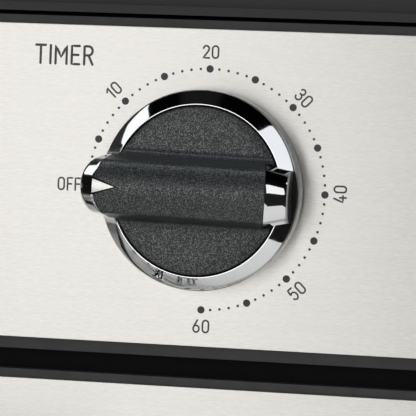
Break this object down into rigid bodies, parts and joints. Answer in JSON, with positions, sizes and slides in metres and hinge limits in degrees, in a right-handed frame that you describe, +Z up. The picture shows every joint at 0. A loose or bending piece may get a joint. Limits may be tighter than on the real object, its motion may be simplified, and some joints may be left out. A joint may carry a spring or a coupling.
{
  "type": "food dehydrator",
  "caption": "Countertop drawer dehydrator: brushed steel fascia with a clockwork timer knob and a thermostat knob, mesh drying drawers, rear fan and ring heater.",
  "frame": {"origin": "on the table, under the middle of the bounding box", "axes": "+X to the right seen from the front, +Y to the back, +Z up"},
  "size_m": [0.32, 0.356, 0.2965],
  "materials": {
    "black_sheet": "black powder coat, fine orange peel",
    "black_frame": "black moulding, fine grain",
    "brushed_skin": "brushed along the width",
    "rubber": "matt moulded rubber",
    "screw_steel": "zinc plated",
    "galvanised": "galvanised sheet, soft spangle",
    "lamp_red": "clear amber-red lens",
    "chrome": "bright chrome on a moulding",
    "knob_black": "black with a fine sparkle grain",
    "spring_steel": "bright spring wire",
    "brass": "turned and stamped brass",
    "works_steel": "stamped steel",
    "nylon": "natural nylon",
    "switch_brown": "brown phenolic",
    "ceramic": "cream ceramic and moulding",
    "copper": "drawn copper",
    "motor_steel": "laminated steel and dark coil tape",
    "heater_sheath": "heat-tinted sheath",
    "aluminium": "pressed aluminium",
    "tray_black": "black moulding, fine grain",
    "mesh_steel": "woven stainless wire",
    "handle_black": "black bar"
  },
  "bodies": {
    "cabinet": {"left_side_panel": "black_sheet", "right_side_panel": "black_sheet", "top_cover": "black_sheet", "base_pan": "galvanised", "rear_cover": "black_sheet", "front_frame": "black_frame", "rubber_feet": "rubber", "case_screws": "screw_steel", "fascia_carrier": "black_frame", "fascia_skin": "brushed_skin", "control_plate": "galvanised", "control_screws": "screw_steel", "chamber_ceiling": "galvanised", "left_runners": "galvanised", "right_runners": "galvanised", "air_baffle": "galvanised", "chamber_rear_wall": "galvanised", "fan_motor": "motor_steel", "heater_ring": "heater_sheath", "heater_clips": "works_steel", "thermal_cutout": "switch_brown", "cord_gland": "black_frame", "power_lamp": "lamp_red", "timer_front_plate": "works_steel", "timer_back_plate": "works_steel", "timer_bell": "works_steel", "timer_switch": "switch_brown", "thermostat_body": "ceramic", "thermostat_bulb": "copper"},
    "timer_dial": {"timer_knob_bezel": "chrome", "timer_knob_grip": "knob_black", "timer_knob_clip": "spring_steel", "timer_arbor": "brass", "timer_spring_barrel": "brass", "timer_great_wheel": "brass", "timer_cam": "nylon"},
    "second_wheel": {"timer_second_wheel": "brass"},
    "escape_wheel": {"timer_escape_wheel": "brass"},
    "heat_dial": {"heat_knob_bezel": "chrome", "heat_knob_grip": "knob_black", "heat_knob_clip": "spring_steel", "heat_shaft": "brass"},
    "fan": {"fan_wheel": "aluminium", "fan_shaft": "works_steel"},
    "drawer_1": {"drawer_1_tray": "tray_black", "drawer_1_mesh": "mesh_steel", "drawer_1_skin": "brushed_skin", "drawer_1_handle": "handle_black"},
    "drawer_2": {"drawer_2_tray": "tray_black", "drawer_2_mesh": "mesh_steel", "drawer_2_skin": "brushed_skin", "drawer_2_handle": "handle_black"},
    "drawer_3": {"drawer_3_tray": "tray_black", "drawer_3_mesh": "mesh_steel", "drawer_3_skin": "brushed_skin", "drawer_3_handle": "handle_black"},
    "drawer_4": {"drawer_4_tray": "tray_black", "drawer_4_mesh": "mesh_steel", "drawer_4_skin": "brushed_skin", "drawer_4_handle": "handle_black"}
  },
  "joints": [
    {"name": "timer_turn", "type": "hinge", "parent": "cabinet", "child": "timer_dial", "pos_m": [0.08, -0.154, 0.2525], "axis": [0, 1, 0], "range_deg": [0, 270]},
    {"name": "second_wheel_turn", "type": "hinge", "parent": "cabinet", "child": "second_wheel", "pos_m": [0.062, -0.116, 0.2525], "axis": [0, 1, 0], "range_deg": [-1080, 0]},
    {"name": "escape_wheel_turn", "type": "hinge", "parent": "cabinet", "child": "escape_wheel", "pos_m": [0.05374, -0.116, 0.2643], "axis": [0, 1, 0], "range_deg": [0, 3240]},
    {"name": "heat_turn", "type": "hinge", "parent": "cabinet", "child": "heat_dial", "pos_m": [-0.08, -0.154, 0.2525], "axis": [0, 1, 0], "range_deg": [0, 270]},
    {"name": "fan_spin", "type": "hinge", "parent": "cabinet", "child": "fan", "pos_m": [0, 0.126, 0.1148], "axis": [0, 1, 0], "continuous": true},
    {"name": "drawer_1_slide", "type": "slide", "parent": "cabinet", "child": "drawer_1", "axis": [0, -1, 0], "range_m": [0, 0.2]},
    {"name": "drawer_2_slide", "type": "slide", "parent": "cabinet", "child": "drawer_2", "axis": [0, -1, 0], "range_m": [0, 0.2]},
    {"name": "drawer_3_slide", "type": "slide", "parent": "cabinet", "child": "drawer_3", "axis": [0, -1, 0], "range_m": [0, 0.2]},
    {"name": "drawer_4_slide", "type": "slide", "parent": "cabinet", "child": "drawer_4", "axis": [0, -1, 0], "range_m": [0, 0.2]}
  ],
  "couplings": [
    {"joint": "second_wheel_turn", "follows": "timer_turn", "ratio": -4},
    {"joint": "escape_wheel_turn", "follows": "timer_turn", "ratio": 12}
  ]
}
